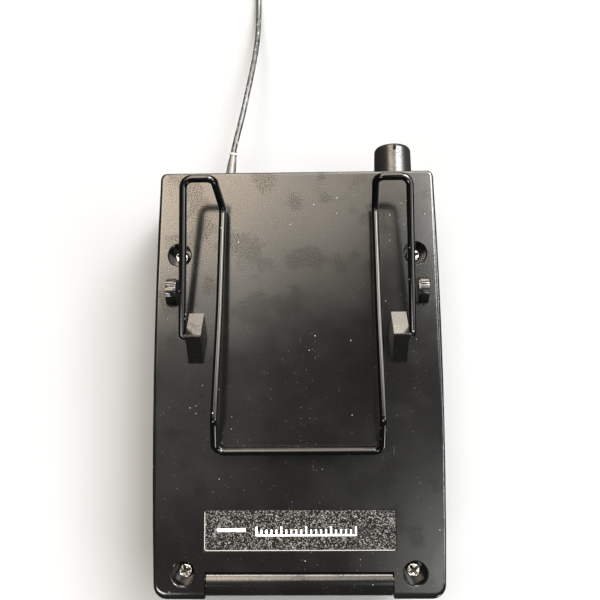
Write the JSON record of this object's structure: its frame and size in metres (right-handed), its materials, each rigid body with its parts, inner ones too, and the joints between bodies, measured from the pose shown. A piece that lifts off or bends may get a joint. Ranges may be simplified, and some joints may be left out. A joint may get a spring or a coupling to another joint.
{
  "type": "wireless bodypack transmitter",
  "caption": "Black pocket-size radio bodypack with a sprung wire belt clip, battery door, rotary knob, front keys, audio socket and a flexible wire antenna.",
  "frame": {"origin": "centre of the case's flat front face, on which the pack lies", "axes": "+X to the right seen from the back, +Y towards the antenna and knob end, +Z out of the back face, where the clip is"},
  "size_m": [0.065, 0.2098, 0.0368],
  "materials": {
    "case_plastic": "semi-gloss black, fine scratches and dust",
    "panel_plastic": "satin black moulding",
    "clip_wire": "spring wire with a glossy black coating",
    "screw_steel": "black zinc plated steel",
    "label": "grained black label with pale tick marks",
    "bright_steel": "nickel plated steel",
    "foam": "dense grey foam",
    "latch_plastic": "satin black moulding",
    "cell_sleeve": "printed shrink sleeve, plain band",
    "gold_contact": "gold plated brass",
    "wire_red": "insulated lead",
    "board": "solder mask green",
    "chip": "moulded packages",
    "lcd": "grey display module",
    "window": "smoked clear window",
    "key_rubber": "soft grey key caps",
    "knob_plastic": "semi-gloss black knob",
    "led_lens": "pale green diffused lens",
    "antenna_plastic": "dark grey flexible plastic"
  },
  "bodies": {
    "case": {"back_case": "case_plastic", "front_case": "case_plastic", "top_panel": "panel_plastic", "case_screws": "screw_steel", "label_plate": "label", "battery_tray": "panel_plastic", "battery_cell_left": "cell_sleeve", "battery_cell_right": "cell_sleeve", "tray_contacts": "gold_contact", "tray_spring": "bright_steel", "battery_wires": "wire_red", "main_board": "board", "board_screws": "bright_steel", "rf_shield": "bright_steel", "board_chips": "chip", "lcd_module": "lcd", "lcd_window": "window", "key_switches": "bright_steel", "potentiometer_body": "bright_steel", "potentiometer_washer": "bright_steel", "potentiometer_nut": "bright_steel", "jack_body": "panel_plastic", "jack_nut": "bright_steel", "status_led": "led_lens", "antenna_ferrule": "panel_plastic", "antenna_boot": "antenna_plastic", "antenna_lug": "gold_contact", "antenna": "antenna_plastic", "antenna_tip": "antenna_plastic"},
    "clip": {"belt_clip": "clip_wire"},
    "door": {"battery_door": "case_plastic", "hinge_pin": "bright_steel", "door_pad": "foam", "link_contact": "bright_steel", "link_spring": "bright_steel"},
    "latch": {"door_latch": "latch_plastic"},
    "knob": {"volume_knob": "knob_plastic", "potentiometer_shaft": "bright_steel"},
    "key_set": {"key_set": "key_rubber"},
    "key_up": {"key_up": "key_rubber"},
    "key_down": {"key_down": "key_rubber"}
  },
  "joints": [
    {"name": "clip_open", "type": "hinge", "parent": "case", "child": "clip", "pos_m": [0, 0.0091, 0.0268], "axis": [-1, 0, 0], "range_deg": [-2.2, 4.2], "stiffness_Nm_per_rad": 1.5},
    {"name": "door_open", "type": "hinge", "parent": "case", "child": "door", "pos_m": [0, -0.0442, 0.0205], "axis": [-1, 0, 0], "range_deg": [0, 100]},
    {"name": "latch_slide", "type": "slide", "parent": "door", "child": "latch", "axis": [0, -1, 0], "range_m": [0, 0.002], "stiffness_N_per_m": 200},
    {"name": "knob_turn", "type": "hinge", "parent": "case", "child": "knob", "pos_m": [0.0238, 0.05, 0.012], "axis": [0, 1, 0], "range_deg": [-150, 150]},
    {"name": "key_set_press", "type": "slide", "parent": "case", "child": "key_set", "axis": [0, 0, 1], "range_m": [0, 0.00035], "stiffness_N_per_m": 1500},
    {"name": "key_up_press", "type": "slide", "parent": "case", "child": "key_up", "axis": [0, 0, 1], "range_m": [0, 0.00035], "stiffness_N_per_m": 1500},
    {"name": "key_down_press", "type": "slide", "parent": "case", "child": "key_down", "axis": [0, 0, 1], "range_m": [0, 0.00035], "stiffness_N_per_m": 1500}
  ]
}
